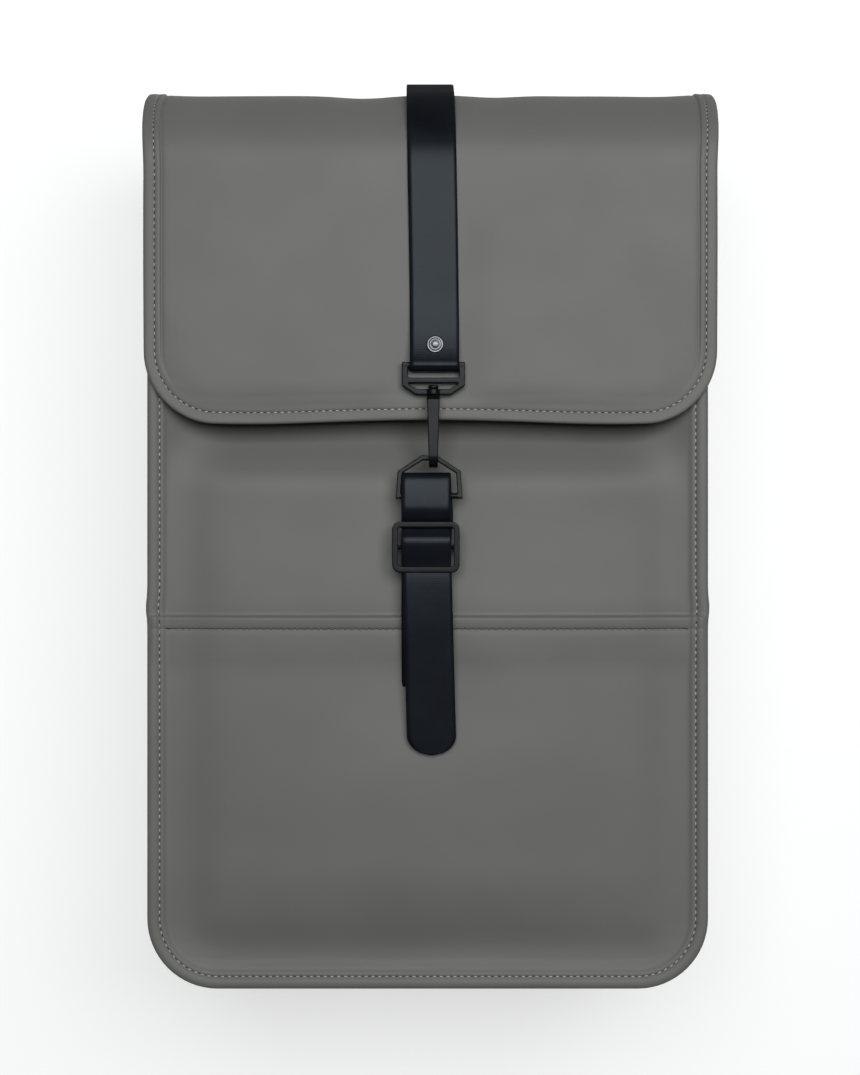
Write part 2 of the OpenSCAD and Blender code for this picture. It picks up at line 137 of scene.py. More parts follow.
class Nodes:
    """A new node material with its Principled shader and a few short ways to wire it."""

    def __init__(self, name, color, rough, metallic=0.0, specular=0.5):
        self.mat = bpy.data.materials.new(name)
        self.mat.use_nodes = True
        self.tree = self.mat.node_tree
        self.bsdf = self.tree.nodes["Principled BSDF"]
        self.bsdf.inputs["Base Color"].default_value = (*color, 1)
        self.bsdf.inputs["Roughness"].default_value = rough
        self.bsdf.inputs["Metallic"].default_value = metallic
        self.bsdf.inputs["Specular IOR Level"].default_value = specular
        self.coord = self.tree.nodes.new("ShaderNodeTexCoord")
        self.color = color
        self.normal = None

    def add(self, kind, **values):
        node = self.tree.nodes.new(kind)
        for key, value in values.items():
            if key in node.inputs:
                node.inputs[key].default_value = value
            else:
                setattr(node, key, value)
        return node

    def link(self, a, b):
        self.tree.links.new(a, b)

    def noise(self, scale, detail=3.0):
        node = self.add("ShaderNodeTexNoise", Scale=scale, Detail=detail, Roughness=0.5)
        self.link(self.coord.outputs["Object"], node.inputs["Vector"])
        return node.outputs["Fac"]

    def mottle(self, scale, low, high, detail=3.0):
        """Base colour that drifts between low and high times the colour."""
        ramp = self.add("ShaderNodeValToRGB")
        ramp.color_ramp.elements[0].position = 0.3
        ramp.color_ramp.elements[1].position = 0.7
        ramp.color_ramp.elements[0].color = (*[c * low for c in self.color], 1)
        ramp.color_ramp.elements[1].color = (*[c * high for c in self.color], 1)
        self.link(self.noise(scale, detail), ramp.inputs["Fac"])
        self.link(ramp.outputs["Color"], self.bsdf.inputs["Base Color"])

    def rough(self, scale, low, high, detail=2.0):
        span = self.add("ShaderNodeMapRange")
        span.inputs["To Min"].default_value = low
        span.inputs["To Max"].default_value = high
        self.link(self.noise(scale, detail), span.inputs["Value"])
        self.link(span.outputs["Result"], self.bsdf.inputs["Roughness"])

    def bump(self, height, strength, distance):
        node = self.add("ShaderNodeBump", Strength=strength, Distance=distance)
        self.link(height, node.inputs["Height"])
        if self.normal:
            self.link(self.normal, node.inputs["Normal"])
        self.normal = node.outputs["Normal"]
        self.link(self.normal, self.bsdf.inputs["Normal"])

    def ribs(self, axis, pitch, strength, distance):
        """Fine parallel ribs across UV axis X or Y, pitch in metres."""
        wave = self.add("ShaderNodeTexWave", bands_direction=axis, Scale=math.pi / (10 * pitch))
        self.link(self.coord.outputs["UV"], wave.inputs["Vector"])
        self.bump(wave.outputs["Fac"], strength, distance)


def coated(name, color, low=0.5, high=0.62):
    m = Nodes(name, color, 0.56, specular=0.35)
    m.mottle(16, 0.955, 1.045)
    m.rough(30, low, high)
    m.bump(m.noise(160, 4), 0.10, 0.0006)
    m.bump(m.noise(2600, 2), 0.16, 0.00012)
    m.bsdf.inputs["Sheen Weight"].default_value = 0.04
    m.bsdf.inputs["Sheen Roughness"].default_value = 0.5
    return m.mat


def woven(name, color, rough, pitch=0.0009, depth=0.00004):
    m = Nodes(name, color, rough, specular=0.145)
    m.bsdf.inputs["Specular Tint"].default_value = (0.80, 0.91, 1, 1)
    m.mottle(60, 0.8, 1.2)
    m.ribs("Y", pitch, 0.35, depth)
    m.ribs("X", pitch * 1.7, 0.1, depth)
    m.bump(m.noise(420, 3), 0.06, 0.0001)
    return m.mat


def metal(name, color, rough, metallic, specular=0.5):
    m = Nodes(name, color, rough, metallic, specular)
    m.mottle(120, 0.85, 1.15)
    m.rough(200, rough - 0.06, rough + 0.08)
    m.bump(m.noise(1400, 3), 0.10, 0.00012)
    return m.mat


def cloth(name, color, scale, depth):
    """Plain or mesh cloth that needs no UVs."""
    m = Nodes(name, color, 0.85, specular=0.2)
    m.mottle(50, 0.85, 1.15)
    cells = m.add("ShaderNodeTexVoronoi", Scale=scale)
    m.link(m.coord.outputs["Object"], cells.inputs["Vector"])
    m.bump(cells.outputs["Distance"], 0.6, depth)
    return m.mat


GREY = (0.131, 0.129, 0.1215)
coat = coated("coated_fabric", GREY)
coat_back = cloth("coated_fabric_reverse", (0.045, 0.045, 0.043), 1500, 0.0002)
lining = cloth("lining", (0.028, 0.028, 0.030), 1700, 0.0002)
mesh_cloth = cloth("spacer_mesh", (0.018, 0.018, 0.020), 560, 0.0006)
webbing = woven("webbing", (0.0056, 0.0066, 0.0094), 0.29)
tape = woven("tape", (0.012, 0.012, 0.013), 0.7, 0.0006)
black_metal = metal("black_metal", (0.0045, 0.005, 0.006), 0.34, 0.0, 0.14)
gunmetal = metal("gunmetal", (0.15, 0.16, 0.17), 0.36, 1.0)
plastic = metal("black_plastic", (0.012, 0.012, 0.013), 0.46, 0.0)
thread = cloth("thread", (0.40, 0.395, 0.37), 3200, 0.0001)
dark_thread = cloth("dark_thread", (0.035, 0.035, 0.034), 3200, 0.0001)
# Near-black material of painted shade, for the discs that stand for the shade inside the stitch
# punctures.
hole = Nodes("painted_needle_hole_shade", (0.014, 0.014, 0.013), 0.9).mat


# ---------------------------------------------------------------- mesh helpers

def make(name, verts, faces, mats, body=None, uvs=None, faceted=False):
    data = bpy.data.meshes.new(name)
    data.from_pydata([(x * MM, y * MM, z * MM) for x, y, z in verts], [], faces)
    data.validate()
    data.polygons.foreach_set("use_smooth", [not faceted] * len(data.polygons))
    if uvs:
        layer = data.uv_layers.new(name="UVMap")
        for loop in data.loops:
            u, v = uvs[loop.vertex_index]
            layer.data[loop.index].uv = (u * MM, v * MM)
    obj = bpy.data.objects.new(name, data)
    bpy.context.scene.collection.objects.link(obj)
    for m in mats if isinstance(mats, list) else [mats]:
        data.materials.append(m)
    if body:
        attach(obj, body)
    return obj


def stripes(rings, closed=True):
    """Quads between rows of vertex numbers that all have the same length."""
    faces = []
    for a, b in zip(rings, rings[1:]):
        n = len(a)
        for k in range(n if closed else n - 1):
            faces.append((a[k], a[(k + 1) % n], b[(k + 1) % n], b[k]))
    return faces


class Outline:
    """A panel's outline in x and s: straight sides, two round bottom corners, open top."""

    def __init__(self, half, radius, low, top, step=5.0, rows=(), nx=56, na=16):
        self.half, self.radius, self.low, self.top = half, radius, low, top
        start = low + radius
        n = round((top - start) / step)
        zs = set(round(z, 3) for z in spread(start, top, n))
        zs = {z for z in zs if all(abs(z - r) > 1.2 for r in rows)} | set(rows) | {start, top}
        self.sides = sorted(zs, reverse=True)[:-1]
        self.nx, self.na = nx, na

    def left(self, d):
        r = max(self.radius - d, 0.4)
        cx, cz = self.radius - self.half, self.low + self.radius
        pts = [(-self.half + d, z) for z in self.sides]
        for k in range(self.na + 1):
            a = math.pi / 2 * k / self.na
            pts.append((cx - r * math.cos(a), cz - r * math.sin(a)))
        return pts

    def ring(self, d):
        left = self.left(d)
        inner = self.half - self.radius
        middle = [(x, self.low + d) for x in spread(-inner, inner, self.nx)[1:-1]]
        return left + middle + [(-x, z) for x, z in reversed(left)]

    def distance(self, x, s):
        x = abs(x)
        cx, cz = self.half - self.radius, self.low + self.radius
        if x > cx and s < cz:
            return self.radius - math.hypot(x - cx, s - cz)
        return min(self.half - x, s - self.low)


def loft(name, outline, bands, place, mats, body, cap_last=True, cap_first=False):
    """A skin over an outline: rings of (inset, offset) and a grid over the middle."""
    verts, rings = [], []
    for d, off in bands:
        row = []
        for x, s in outline.ring(d):
            row.append(len(verts))
            verts.append(place(x, s, d, off))
        rings.append(row)
    faces = stripes(rings, closed=False)
    nl, nx = len(outline.left(0)), outline.nx
    for wanted, ring, (d, off), flip in ((cap_last, rings[-1], bands[-1], False),
                                         (cap_first, rings[0], bands[0], True)):
        if not wanted:
            continue
        left, n = outline.left(d), len(ring)
        grid = []
        for j, (x, s) in enumerate(left):
            row = [ring[j]]
            for i in range(1, nx):
                if j == nl - 1:
                    row.append(ring[nl + i - 1])
                    continue
                px = x - 2 * x * i / nx
                row.append(len(verts))
                verts.append(place(px, s, outline.distance(px, s), off))
            row.append(ring[n - 1 - j])
            grid.append(row)
        cap = stripes(grid, closed=False)
        faces += [f[::-1] for f in cap] if not flip else cap
    return make(name, verts, faces, mats, body)


def facing(place_fn, x, s):
    """Point and outward normal of a skin at (x, s)."""
    p = Vector(place_fn(x, s))
    a = Vector(place_fn(x + 0.6, s)) - p
    b = Vector(place_fn(x, s + 0.6)) - p
    return p, a.cross(b).normalized()


class Stitches:
    """Threads of one body, and dark discs of painted shade at the stitch ends, gathered into two meshes.
    """

    def __init__(self, name, body, mat=thread, reach=0.24):
        self.name, self.body, self.mat, self.reach = name, body, mat, reach
        self.verts, self.faces, self.hole_verts, self.shade_disc_faces = [], [], [], []

    def thread(self, a, b, n):
        along = b - a
        side = along.cross(n).normalized()
        rings = []
        for share, r in ((-1, 0.3), (-0.7, 0.85), (0, 1.0), (0.7, 0.85), (1, 0.3)):
            c = a + along * (0.5 + share * self.reach)
            row = []
            for k in range(6):
                w = math.pi * k / 3
                row.append(len(self.verts))
                self.verts.append(tuple(c + side * math.cos(w) * 0.36 * r
                                        + n * (math.sin(w) * 0.26 * r + 0.16)))
            rings.append(row)
        self.faces += stripes(rings) + [tuple(rings[0]), tuple(reversed(rings[-1]))]

    # A dark disc of painted shade at each stitch end, raised just above the skin, standing for the shade
    # inside the puncture.
    def shade_disc(self, p, n, along):
        side = along.cross(n).normalized()
        along = along.normalized()
        rings = []
        for r, h in ((1.15, 0.02), (0.85, 0.09)):
            row = []
            for k in range(8):
                w = math.pi * k / 4
                row.append(len(self.hole_verts))
                self.hole_verts.append(tuple(p + side * math.cos(w) * r * 0.42
                                             + along * math.sin(w) * r + n * h))
            rings.append(row)
        self.shade_disc_faces += stripes(rings) + [tuple(rings[1])]

    def line(self, place_fn, points):
        """Stitches along (x, s) points on a skin."""
        steps = [facing(place_fn, x, s) for x, s in resample(points, PITCH)]
        self.run([p for p, _ in steps], [n for _, n in steps])

    def run(self, points, normals):
        for (a, b), n in zip(zip(points, points[1:]), normals):
            self.thread(a, b, n)
            self.shade_disc(a, n, b - a)

    def build(self):
        # The second mesh carries the discs of painted shade at the stitch ends.
        for tag, verts, faces, mat in (("thread", self.verts, self.faces, self.mat),
                                       ("painted_hole_shades", self.hole_verts, self.shade_disc_faces, hole)):
            make(f"{self.name}_{tag}", verts, faces, mat, self.body)


def sweep(name, points, width, thick, mat, body, lateral=(1, 0, 0), across=10, shape=None,
          up=None, ease=0.45):
    """A flat band along 3-D points. width may be a function of (length along, whole length)."""
    lateral = Vector(lateral).normalized()
    pts = [Vector(p) for p in points]
    lengths = [0.0]
    for a, b in zip(pts, pts[1:]):
        lengths.append(lengths[-1] + (b - a).length)
    verts, uvs, rings = [], [], []
    for i, p in enumerate(pts):
        t = (pts[min(i + 1, len(pts) - 1)] - pts[max(i - 1, 0)]).normalized()
        side = t.cross(Vector(up)).normalized() if up else lateral
        normal = side.cross(t).normalized()
        w = (width(lengths[i], lengths[-1]) if callable(width) else width) / 2
        drift = shape(lengths[i], lengths[-1]) if shape else 0.0
        e = min(ease, w * 0.3)
        top = [(u, 0.5) for u in spread(-w + e, w - e, across)]
        under = [(u, -v) for u, v in reversed(top)]
        loop = [(-w, 0.12)] + top + [(w, 0.12), (w, -0.12)] + under + [(-w, -0.12)]
        row = []
        for u, v in loop:
            row.append(len(verts))
            verts.append(tuple(p + side * (u + drift) + normal * v * thick))
            uvs.append((u, lengths[i]))
        rings.append(row)
    faces = stripes(rings) + [tuple(reversed(rings[0])), tuple(rings[-1])]
    return make(name, verts, faces, mat, body, uvs)


def round_end(width, at_start=False, at_end=True, drop=0.8):
    """Width function of a band with a rounded end."""
    r = width / 2

    def half(s, whole):
        near = min(s if at_start else 1e9, (whole - s) if at_end else 1e9) / drop
        return width if near >= r else 2 * math.sqrt(max(0.02, r * r - (r - near) ** 2))
    return half


def plate(name, outline2d, y0, y1, mat, body, pillow=0.35):
    """A soft plate from a convex outline in x and z, crowned towards y1."""
    cx = sum(p[0] for p in outline2d) / len(outline2d)
    cz = sum(p[1] for p in outline2d) / len(outline2d)
    pts = resample(list(outline2d) + [outline2d[0]], 1.5)[:-1]
    verts, rings = [], []
    for scale, h in ((0.96, 0.0), (1.0, 0.15), (1.0, 0.6), (0.985, 0.9), (0.95, 1.0), (0.9, 1.0),
                     (0.6, 1.0 + pillow * 0.5), (0.25, 1.0 + pillow * 0.6)):
        row = []
        for x, z in pts:
            row.append(len(verts))
            verts.append((cx + (x - cx) * scale, y0 + (y1 - y0) * h, cz + (z - cz) * scale))
        rings.append(row)
    faces = stripes(rings) + [tuple(reversed(rings[0])), tuple(rings[-1])]
    return make(name, verts, faces, mat, body)


def lathe(name, centre, profile, mat, body, n=48):
    """A round piece about Y from (radius, height) pairs, height towards the front."""
    verts, rings = [], []
    for r, h in profile:
        row = []
        for k in range(n):
            w = 2 * math.pi * k / n
            row.append(len(verts))
            verts.append((centre[0] + r * math.cos(w), centre[1] - h,
                          centre[2] + r * math.sin(w)))
        rings.append(row)
    faces = stripes(rings) + [tuple(reversed(rings[0])), tuple(rings[-1])]
    return make(name, verts, faces, mat, body)


def thicken(obj, thickness, inside=0):
    """Gives a skin its cloth's thickness, inwards."""
    mod = obj.modifiers.new("cloth", "SOLIDIFY")
    mod.thickness = thickness * MM
    mod.offset = -1
    mod.material_offset = inside
    mod.use_even_offset = False


# ---------------------------------------------------------------- bag body

body_outline = Outline(HALF, CORNER, 0, 436, 5.0,
                       rows=(196, 193, 191.6, 191, 190.6, 190.2, 189.6, 188.6, 187, 185.6, 184.9,
                             184.3, 183.7, 182.6, 180, 176, 172, 168))
FLANGE = [(2.8, 4.4), (1.5, 3.7), (0.5, 2.5), (0.05, 1.0), (0.0, -0.3), (0.25, -1.3), (0.8, -2.0),
          (1.7, -2.4), (2.8, -2.5), (4.2, -2.3), (5.2, -1.9), (6.0, -1.35), (6.4, -0.95), (6.8, -1.15),
          (7.6, -1.25), (8.6, -0.8), (9.4, -0.2), (10.4, 0.1), (12.0, 0.1), (14.0, 0.0)]
LAP = [(164, 0.3), (172, 1.2), (180, 1.75), (182.6, 1.75), (183.7, 1.5), (184.3, 1.0), (184.9, 1.5),
       (185.6, 1.8), (187, 1.95), (188.6, 2.25), (189.6, 2.25), (190.2, 1.9), (190.6, 1.2),
       (191.0, 0.15), (191.6, -0.35), (193, -0.25), (196, 0.0)]


def front_relief(x, z, d):
    """How far the front stands out from its plane, apart from the seam round it."""
    sides = max(0.0, 1 - abs(x / 134) ** 3)
    bulge = sides * (6.6 * smooth(13, 62, z) * (1 - 0.22 * smooth(62, 188, z))
                     * (1 - 0.45 * smooth(188, 250, z)))
    bulge -= 17.0 * smooth(256, 291, z) * (1 - smooth(335, 415, z)) * smooth(139, 98, abs(x))
    bulge -= 2.6 * bump(x, 0, 26) * smooth(105, 165, z)
    hollow = 1.7 * bump(d, 21, 11) * (1 - smooth(300, 340, z))
    soft = 0.85 * lump(x, z, 88, 3) + 0.3 * lump(x, z, 31, 5)
    pucker = 0.10 * math.sin(z * 0.72 + 3 * lump(x, z, 40, 9)) * bump(d, 12, 4)
    dent = 0.5 * bump(z, 176, 12) * lump(x, z, 26, 12)
    return bulge - hollow + (soft + dent) * smooth(8, 30, d) + pucker


def place_front(x, z, d, off):
    weight = smooth(7, 15, d)
    proud = off * (1 - smooth(408, 428, z) * (1 if off < 0 else 0))
    lap = table(LAP, z) * smooth(1.0, 4.0, d) * (0.55 + 0.45 * weight)
    wide = 1 + 0.0052 * bump(z, 195, 5.5)
    y = Y_FRONT + proud - lap - weight * front_relief(x, z, d) + 3.0 * smooth(405, 436, z)
    return (x * wide, y, z)


def front_skin(x, z):
    d = body_outline.distance(x, z)
    return place_front(x, z, d, table(FLANGE[4:], d))


front = loft("front_panels", body_outline, FLANGE, place_front, coat, "bag")
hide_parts("front_upper_panel", "front_lower_panel", "front_seam_binding")

GUSSET = spread(-52.8, 39.0, 22)
RIM = [(-52.8, 436), (-46, 444), (-37, 451.5), (-26, 457), (-12, 459.3), (4, 459.3), (20, 457.5),
       (30, 454), (39, 447.5)]


def rim_height(y):
    """Top edge of the side wall, under the flap."""
    return table(RIM, y)


side_outline = Outline(HALF, CORNER, 0, SIDE_TOP, 6.0)


def place_gusset(x, z, d, y):
    t = (y - GUSSET[0]) / (GUSSET[-1] - GUSSET[0])
    high = smooth(16, 110, z)
    inward = 3.4 * math.sin(math.pi * t) ** 1.3 * high + 1.0 * bump(t, 0.46, 0.06) * smooth(60, 170, z)
    inward += 1.1 * lump(y * 1.4, z, 60, 21) * math.sin(math.pi * t) * high
    cx, cz = HALF - CORNER, CORNER
    rise = (rim_height(y) - SIDE_TOP) * smooth(380, SIDE_TOP, z)
    if z < cz and abs(x) > cx:
        nx, nz = (abs(x) - cx), (cz - z)
        n = math.hypot(nx, nz)
        k = 1 - inward * 0.5 / max(n, 1)
        return (math.copysign(cx + nx * k, x), y, cz - nz * k)
    if z <= cz:
        return (x, y, z + 0.35 * math.sin(math.pi * t))
    return (x - math.copysign(inward, x), y, z + rise)


gusset = loft("gusset_wall", side_outline, [(2.0, y) for y in GUSSET], place_gusset, coat, "bag",
              cap_last=False)
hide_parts("gusset")

BACK_FLANGE = [(2.8, -4.4), (1.3, -3.6), (0.4, -2.4), (0.0, -1.0), (0.2, 0.1), (0.9, 0.8), (2.2, 1.1),
               (4.4, 1.0), (5.6, 0.8), (6.2, 0.3), (6.8, 0.7), (8.2, 0.5), (9.4, -0.2), (11, -0.5),
               (14, -0.5)]
back_outline = Outline(HALF, CORNER, 0, 448, 6.0)


def place_back(x, z, d, off):
    soft = 0.35 * lump(x, z, 70, 31) * smooth(8, 30, d)
    channel = 0.5 * bump(d, 19, 3)
    return (x, Y_BACK + off + soft - channel, z)


def back_skin(x, z):
    d = back_outline.distance(x, z)
    return place_back(x, z, d, table(BACK_FLANGE[3:], d))


back = loft("back_wall", back_outline, BACK_FLANGE, place_back, coat, "bag")
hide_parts("back_panel", "back_seam_binding", "back_padding")

# Lining bag inside, and the computer sleeve on its back wall
LINER = [(18, -53.0), (12, -52.7), (8.0, -51.5), (6.8, -49)] + \
        [(6.8 + 3.2 * math.sin(math.pi * (y + 46) / 76), y) for y in spread(-46, 30, 10)] + \
        [(8.4, 32.4), (11, 33.6), (18, 33.9)]
liner_outline = Outline(HALF, CORNER, 0, 434, 9.0, nx=30, na=10)


def place_liner(x, z, d, y):
    sag = 1.2 * lump(x + y, z, 50, 41) * smooth(10, 60, z)
    shift = (16.0 * smooth(210, 264, z) - 11.5 * smooth(360, 420, z)) * smooth(4, 22, d)
    if y >= -40:
        shift = 0.0
    return (x, y + (abs(sag) if y < 0 else -abs(sag)) * smooth(9, 30, d) + shift, z)


liner = loft("lining_bag", liner_outline, LINER, place_liner, lining, "bag",
             cap_first=True)
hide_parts("back_lining")

sleeve_outline = Outline(122, 16, 22, 345, 12.0, nx=30, na=8)


def place_sleeve(x, z, d, y):
    return (x, y + 1.2 * lump(x, z, 80, 45) * smooth(4, 30, d), z)


sleeve = loft("computer_sleeve", sleeve_outline,
              [(0, 32.6), (0.2, 22), (1.2, 15.5), (3, 13.4), (8, 12.9)],
              place_sleeve, lining, "bag")
thicken(sleeve, 1.6)
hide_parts("laptop_sleeve")
sweep("sleeve_hem", [(x, 12.6, 341) for x in spread(-121, 121, 60)], 14, 2.6, tape, "bag",
      lateral=(0, 0, 1))

# Binding round the open top
SIDE_TURNS = 14
rim = [(-132, -51.8, 432.5), (132, -51.8, 432.5)]
rim += [(138.6 - 5.4 * math.sin(math.pi * (y + 50) / 88), y, rim_height(y) - 3.4)
        for y in spread(-50, 38, SIDE_TURNS)]
rim += [(132, 40.2, 443.5), (-132, 40.2, 443.5)]
rim += [(-x, y, z) for x, y, z in reversed(rim[2:SIDE_TURNS + 3])] + [rim[0]]
sweep("rim_tape", resample(rim, 4), 9, 2.0, tape, "bag", lateral=(0, 0, 1),
      across=4)

# ---------------------------------------------------------------- flap

FLAP_PATH = curve(
    [(FLAP_FACE, z) for z in (290, 300, 320, 345, 370, 390, 405, 416)]
    + arc(FLAP_FACE + 30, 424, 30, 180, 128, 4)
    + [(-45.2, 453.2), (-37, 459.3), (-26, 464.0), (-12, 466.4), (4, 466.2), (20, 464.5)]
    + arc(32.6, 452, 11, 90, 0, 5), 1.0)
FLAP_LENGTH = len(FLAP_PATH) - 1.0
FLAP_STEP = sum(math.dist(a, b) for a, b in zip(FLAP_PATH, FLAP_PATH[1:])) / FLAP_LENGTH


def flap_path(s):
    """Point and outward normal in Y and Z, s millimetres up from the front edge."""
    i = min(len(FLAP_PATH) - 2, max(0, int(s / FLAP_STEP)))
    (y0, z0), (y1, z1) = FLAP_PATH[i], FLAP_PATH[i + 1]
    t = s / FLAP_STEP - i
    n = math.hypot(y1 - y0, z1 - z0)
    return y0 + (y1 - y0) * t, z0 + (z1 - z0) * t, -(z1 - z0) / n, (y1 - y0) / n


FLAP_S = FLAP_LENGTH * FLAP_STEP
BEND_S = FLAP_TOP - FLAP_BEND - FLAP_LOW
flap_outline = Outline(FLAP_HALF, 36, 0, FLAP_S, 3.0, nx=72)
FLAP_EDGE = [(0.0, -1.1), (0.2, -0.4), (0.7, 0.2), (1.5, 0.5), (2.6, 0.6), (4.2, 0.6), (5.2, 0.5),
             (5.55, 0.2), (5.75, -0.05), (5.95, 0.2), (6.3, 0.5), (7.4, 0.6), (8.4, 0.7), (8.9, 0.35),
             (9.2, -0.6), (9.6, -0.6), (10.2, -0.2), (11.5, 0.0), (14.0, 0.0)]
HEM = [(0.0, -1.1), (0.2, -0.4), (0.7, 0.15), (1.5, 0.35), (2.6, 0.35), (4.6, 0.25), (5.4, 0.1),
       (5.75, -0.3), (6.1, 0.1), (7.5, 0.2), (10, 0.1), (14, 0.0)]


def flap_relief(x, s, d):
    ax = abs(x)
    clear = smooth(13, 34, ax)
    soft = (0.8 * lump(x, s, 84, 51) + 0.25 * lump(x, s, 33, 53)) * (0.2 + 0.8 * clear)
    lift = 4.2 * math.exp(-s / 20) * clear
    crown = (1.1 * smooth(146, 60, ax) * smooth(6, 60, s) * smooth(BEND_S + 10, BEND_S - 60, s)
             * clear)
    pucker = 0.08 * math.sin(s * 0.8 + 4 * lump(x, s, 50, 57)) * bump(d, 11.5, 3)
    top = smooth(BEND_S + 20, BEND_S + 62, s)
    wave = top * (-1.6 * bump(ax, 34, 17) - 0.7 * smooth(30, 90, ax) * smooth(146, 120, ax)
                  + 0.5 * lump(x, 5, 38, 59))
    return (soft + lift + crown) * smooth(3, 22, d) * (1 - 0.6 * top) + pucker + wave * smooth(2, 10, d)


def place_flap(x, s, d, off):
    y, z, ny, nz = flap_path(s)
    side = smooth(16, 52, s)
    edge = table(FLAP_EDGE, d) * side + table(HEM, d) * (1 - side) if d < 14 else 0.0
    bow = 0.8 * bump(s, 95, 70) - 0.8 * bump(s, BEND_S + 50, 30)
    h = (edge + flap_relief(x, s, d)
         + 1.2 * math.exp(-s / 10) * smooth(20, 50, abs(x)) * smooth(10, 0, d))
    wide = (1 + 0.004 * bow
            + 0.022 * smooth(BEND_S - 10, BEND_S + 42, s) * smooth(FLAP_S - 8, FLAP_S - 60, s))
    sag = (0.8 * bump(abs(x), 0, 42) - 1.5 * bump(abs(x), 92, 42)) * math.exp(-s / 40)
    return (x * wide + 1.4 * smooth(FLAP_S, FLAP_S - 90, s), y + ny * h, z + nz * h + sag)


def flap_skin(x, s):
    return place_flap(x, s, flap_outline.distance(x, s), 0)


flap = loft("flap_sheet", flap_outline, [(d, 0) for d, _ in FLAP_EDGE], place_flap, [coat, coat_back],
            "flap")
thicken(flap, 1.5, inside=1)
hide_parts("flap", "flap_hem")

# Fabric fold that joins the flap to the back wall
fold = curve([(44.0, 432.0), (44.35, 442.0), (44.6, 448.0), (44.9, 452.0), (44.4, 456.5),
              (41.8, 460.6)], 1.2)
fold_piece = sweep("flap_fold", [(0, y, z) for y, z in fold], 266, 1.2, coat, None,
                   across=40)
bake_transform(fold_piece)
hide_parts("top_seam_band")

# ---------------------------------------------------------------- straps at the front

strap_face = FLAP_FACE - 1.05
top_z = FLAP_TOP + 11.2
front_path = curve(
    [(45.3, 453.4), (44.6, 458.5), (41.4, 465.5), (35.0, 471.0), (26.0, 473.9), (14.0, top_z + 0.3),
     (0.0, top_z), (-14.0, top_z - 2.6), (-27.0, top_z - 7.6), (-39.0, 461.2), (-49.5, 453.6),
     (-57.6, 444.6), (-61.6, 434.5), (strap_face - 0.1, 422.0), (strap_face - 0.3, 400.0),
     (strap_face, 370.0), (strap_face, 354.0), (strap_face - 0.4, 346.0), (strap_face - 1.1, 339.0),
     (strap_face - 1.9, 333.0), (strap_face - 2.9, 327.5), (strap_face - 4.0, 323.0)]
    + arc(-66.15, 318.4, 2.7, 150, 345, 9)
    + [(strap_face - 0.1, 322.5), (strap_face, 328.0), (strap_face, 340.5)], 1.2)


def strap_drift(s, whole):
    return -1.7 + 2.3 * smooth(60, 250, s)


front_strap = sweep("front_webbing", [(STRAP_X, y, z) for y, z in front_path], WEB, 1.5, webbing,
                    "flap", shape=strap_drift)
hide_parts("front_strap")

rivet = lathe("rivet_dome", (STRAP_X + 0.9, -67.3, 328.8),
              [(4.4, -1.5), (4.5, 0.0), (4.5, 0.35), (4.3, 0.75), (3.9, 0.95), (3.55, 0.95),
               (3.4, 0.85), (3.25, 0.98), (2.9, 1.18), (2.5, 1.28), (2.3, 1.18), (2.15, 1.05),
               (1.95, 1.2), (1.5, 1.42), (0.8, 1.55), (0.1, 1.6)], gunmetal, "flap")
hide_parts("rivet_cap")

low_path = curve(
    [(-58.7, 131.0), (-58.9, 140.0), (-59.4, 151.0), (-62.6, 166.0), (-65.8, 180.0), (-66.45, 194.0),
     (-66.45, 215.0), (-66.45, 236.0), (-66.4, 247.0), (-66.35, 254.0), (-66.5, 258.4), (-67.6, 262.6),
     (-69.3, 262.9), (-70.7, 260.6), (-71.4, 256.0), (-71.8, 249.0), (-71.7, 244.6), (-70.4, 241.2),
     (-68.7, 239.2), (-67.7, 236.0), (-67.6, 226.0), (-67.6, 216.0), (-67.9, 211.0)], 1.2)
low_strap = sweep("lower_webbing", [(LOW_X, y, z) for y, z in low_path],
                  round_end(WEB, at_start=True, at_end=False, drop=0.65), 1.5, webbing, "bag",
                  shape=lambda s, whole: -0.3 + 1.2 * bump(s, 112, 12))
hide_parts("lower_strap")

crest = curve([(-68.7, 239.0), (-68.75, 236.4), (-69.9, 233.6), (-71.4, 230.6), (-71.6, 227.6),
               (-70.7, 223.4), (-69.4, 218.6), (-68.8, 215.0), (-68.75, 212.6)], 0.8)
sweep("buckle_webbing", [(LOW_X - 0.2, y, z) for y, z in crest], WEB + 0.2, 0.9, webbing,
      "slider")

tail_path = curve([(-69.6, 216.5), (-69.9, 210.0), (-69.7, 200.0), (-69.2, 188.0), (-68.2, 172.0),
                   (-67.3, 155.0), (-66.5, 138.0), (-65.8, 120.5)], 1.0)
tail = sweep("tail_webbing", [(TAIL_X, y, z) for y, z in tail_path], round_end(WEB), 1.5, webbing, None,
             shape=lambda s, whole: -0.9 + 2.6 * s / whole)
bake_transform(tail)
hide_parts("strap_tail")

# ---------------------------------------------------------------- stitching

bag_stitches = Stitches("bag_stitch", "bag")
bag_stitches.line(front_skin, [p for p in body_outline.ring(SEAM_IN) if p[1] < 404])
bag_stitches.build()
lap_stitches = Stitches("lap_stitch", "bag", dark_thread, 0.3)
lap_stitches.line(front_skin, [(x, LAP_STITCH_Z) for x in spread(-134, 134, 40)])
lap_stitches.build()
flap_stitches = Stitches("flap_stitch", "flap")
flap_stitches.line(flap_skin, flap_outline.ring(FLAP_SEAM_IN))
flap_stitches.build()


back_stitches = Stitches("back_stitch", "bag")
for points in ([p for p in back_outline.ring(6.2) if p[1] < 440],
               [(x, BACK_STITCH_Z) for x in spread(-130, 130, 30)]):
    stepped = resample(points, PITCH)
    found = [facing(back_skin, x, z) for x, z in stepped]
    lifted = [p + Vector((0, 1.4 if points[0][1] == BACK_STITCH_Z else 0, 0)) for p, _ in found]
    back_stitches.run(lifted, [-n for _, n in found])
back_stitches.build()

# ---------------------------------------------------------------- back: haul loop, straps, zipper

